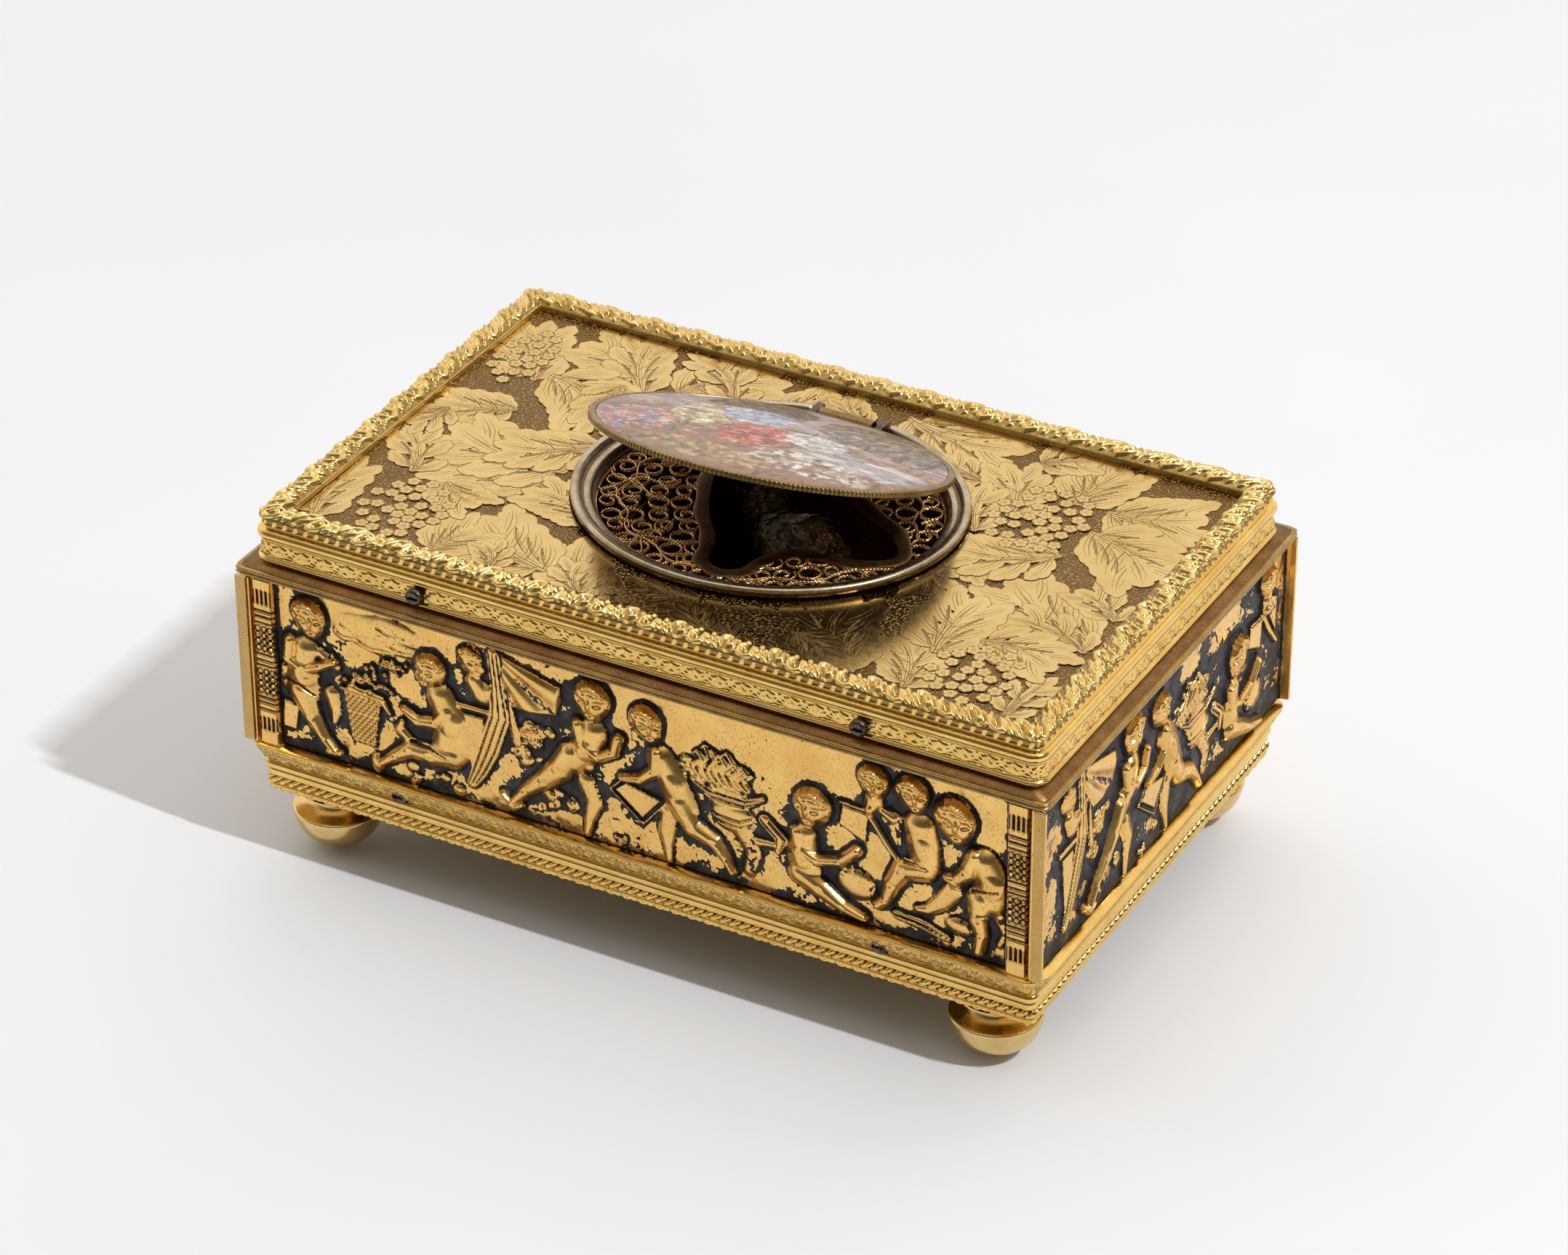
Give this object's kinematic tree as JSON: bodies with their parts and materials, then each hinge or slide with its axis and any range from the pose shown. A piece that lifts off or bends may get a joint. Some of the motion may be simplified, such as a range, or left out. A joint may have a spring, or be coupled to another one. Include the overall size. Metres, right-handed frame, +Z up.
{
  "type": "singing bird automaton box",
  "caption": "Gilt rectangular box on ball feet with relief sides, an engraved top, a hinged oval lid and a small bird that rises through a pierced grille.",
  "frame": {"origin": "floor under the middle of the box", "axes": "+X along the length to the right end, +Y to the back where the lid is hinged, +Z up"},
  "size_m": [0.102, 0.065, 0.0572],
  "materials": {
    "gilt": "polished gilding over cast relief with dark recesses",
    "dark_gilt": "aged matt gilding",
    "brass": "dull satin",
    "silver_gilt": "worn silver gilt, satin",
    "steel": "dark satin",
    "enamel": "glossy painted enamel",
    "feathers": "fine dark green and brown feathers",
    "leather": "thin pale kid"
  },
  "bodies": {
    "case": {"back_frieze": "gilt", "base_frame": "gilt", "bellows_base": "brass", "bellows_folds": "leather", "bird_pan": "dark_gilt", "bottom_plate": "brass", "case_flange": "dark_gilt", "case_shell": "brass", "foot_back_left": "brass", "foot_back_right": "brass", "foot_front_left": "brass", "foot_front_right": "brass", "front_frieze": "gilt", "grille": "dark_gilt", "hinge_mount": "steel", "hinge_pin": "steel", "left_frieze": "gilt", "lower_plate": "brass", "oval_bezel": "silver_gilt", "perch_bracket": "brass", "perch_pin": "steel", "pillar_back_left": "brass", "pillar_back_right": "brass", "pillar_front_left": "brass", "pillar_front_right": "brass", "right_frieze": "gilt", "screw_lower_back_left": "steel", "screw_lower_back_right": "steel", "screw_lower_front_left": "steel", "screw_lower_front_right": "steel", "screw_upper_back_left": "steel", "screw_upper_back_right": "steel", "screw_upper_front_left": "steel", "screw_upper_front_right": "steel", "top_plate": "gilt", "upper_frame": "gilt", "upper_plate": "brass", "whistle_tube": "brass"},
    "lid": {"lid_rim": "brass", "lid_enamel": "enamel"},
    "bird": {"bird_arm": "steel", "bird_body": "feathers"},
    "head": {"bird_head": "feathers"},
    "beak": {"bird_beak_lower": "steel"},
    "wing_left": {"bird_wing_left": "feathers"},
    "wing_right": {"bird_wing_right": "feathers"},
    "tail": {"bird_tail": "feathers"},
    "barrel": {"going_barrel": "brass", "barrel_cover": "brass", "mainspring": "steel"},
    "winding": {"winding_arbor": "steel"},
    "second": {"second_wheel": "brass"},
    "cams": {"cam_wheel": "brass", "song_cam_1": "brass", "song_cam_2": "brass"},
    "fly": {"fly_governor": "brass"},
    "lever": {"song_lever": "steel"},
    "bellows_top": {"bellows_board": "brass"},
    "piston": {"whistle_piston": "steel"},
    "slide": {"start_slide": "steel"}
  },
  "joints": [
    {"name": "lid_hinge", "type": "hinge", "parent": "case", "child": "lid", "pos_m": [-0.0003, 0.0191, 0.0447], "axis": [-1, 0, 0], "range_deg": [-19, 75]},
    {"name": "bird_rise", "type": "hinge", "parent": "case", "child": "bird", "pos_m": [0.0012, -0.0118, 0.0384], "axis": [1, 0, 0], "range_deg": [-21.85, 86.25]},
    {"name": "head_turn", "type": "hinge", "parent": "bird", "child": "head", "pos_m": [-0.0043, 0.0074, 0.0384], "axis": [-0.7809, 0.6247, 0], "range_deg": [-10, 10]},
    {"name": "beak_open", "type": "hinge", "parent": "head", "child": "beak", "pos_m": [-0.00682, 0.00803, 0.0384], "axis": [0, 0, 1], "range_deg": [0, 12]},
    {"name": "wing_left_lift", "type": "hinge", "parent": "bird", "child": "wing_left", "pos_m": [0.00541, 0.00304, 0.0416], "axis": [-0.9135, 0.4067, 0], "range_deg": [0, 10]},
    {"name": "wing_right_lift", "type": "hinge", "parent": "bird", "child": "wing_right", "pos_m": [0.00541, 0.00304, 0.0352], "axis": [0.9135, -0.4067, 0], "range_deg": [0, 10]},
    {"name": "tail_wag", "type": "hinge", "parent": "bird", "child": "tail", "pos_m": [0.0106, -0.0013, 0.0384], "axis": [0, 0, 1], "range_deg": [-4, 4]},
    {"name": "barrel_turn", "type": "hinge", "parent": "case", "child": "barrel", "pos_m": [-0.028, 0, 0.015], "axis": [0, 0, 1], "continuous": true},
    {"name": "winding_turn", "type": "hinge", "parent": "case", "child": "winding", "pos_m": [-0.028, 0, 0.011], "axis": [0, 0, 1], "continuous": true},
    {"name": "second_turn", "type": "hinge", "parent": "case", "child": "second", "pos_m": [-0.01514, -0.00901, 0.015], "axis": [0, 0, 1], "continuous": true},
    {"name": "cam_turn", "type": "hinge", "parent": "case", "child": "cams", "pos_m": [-0.00095, -0.00384, 0.015], "axis": [0, 0, 1], "continuous": true},
    {"name": "fly_turn", "type": "hinge", "parent": "case", "child": "fly", "pos_m": [0.01392, -0.00646, 0.015], "axis": [0, 0, 1], "continuous": true},
    {"name": "song_lever_swing", "type": "hinge", "parent": "case", "child": "lever", "pos_m": [0.00305, 0.01116, 0.018], "axis": [0, 0, 1], "range_deg": [0, 5]},
    {"name": "bellows_pump", "type": "hinge", "parent": "case", "child": "bellows_top", "pos_m": [0.034, 0.019, 0.0202], "axis": [1, 0, 0], "range_deg": [-3, 2.5], "deforming": ["bellows_folds"]},
    {"name": "whistle_slide", "type": "slide", "parent": "case", "child": "piston", "axis": [1, 0, 0], "range_m": [-0.003, 0.009]},
    {"name": "start_slide", "type": "slide", "parent": "case", "child": "slide", "axis": [0, 1, 0], "range_m": [-0.0025, 0.0025]}
  ],
  "couplings": [
    {"joint": "bird_rise", "follows": "lid_hinge", "ratio": 1.15},
    {"joint": "wing_right_lift", "follows": "wing_left_lift", "ratio": 1},
    {"joint": "second_turn", "follows": "barrel_turn", "ratio": -4.2},
    {"joint": "cam_turn", "follows": "barrel_turn", "ratio": 16.8},
    {"joint": "fly_turn", "follows": "barrel_turn", "ratio": -67.2}
  ]
}
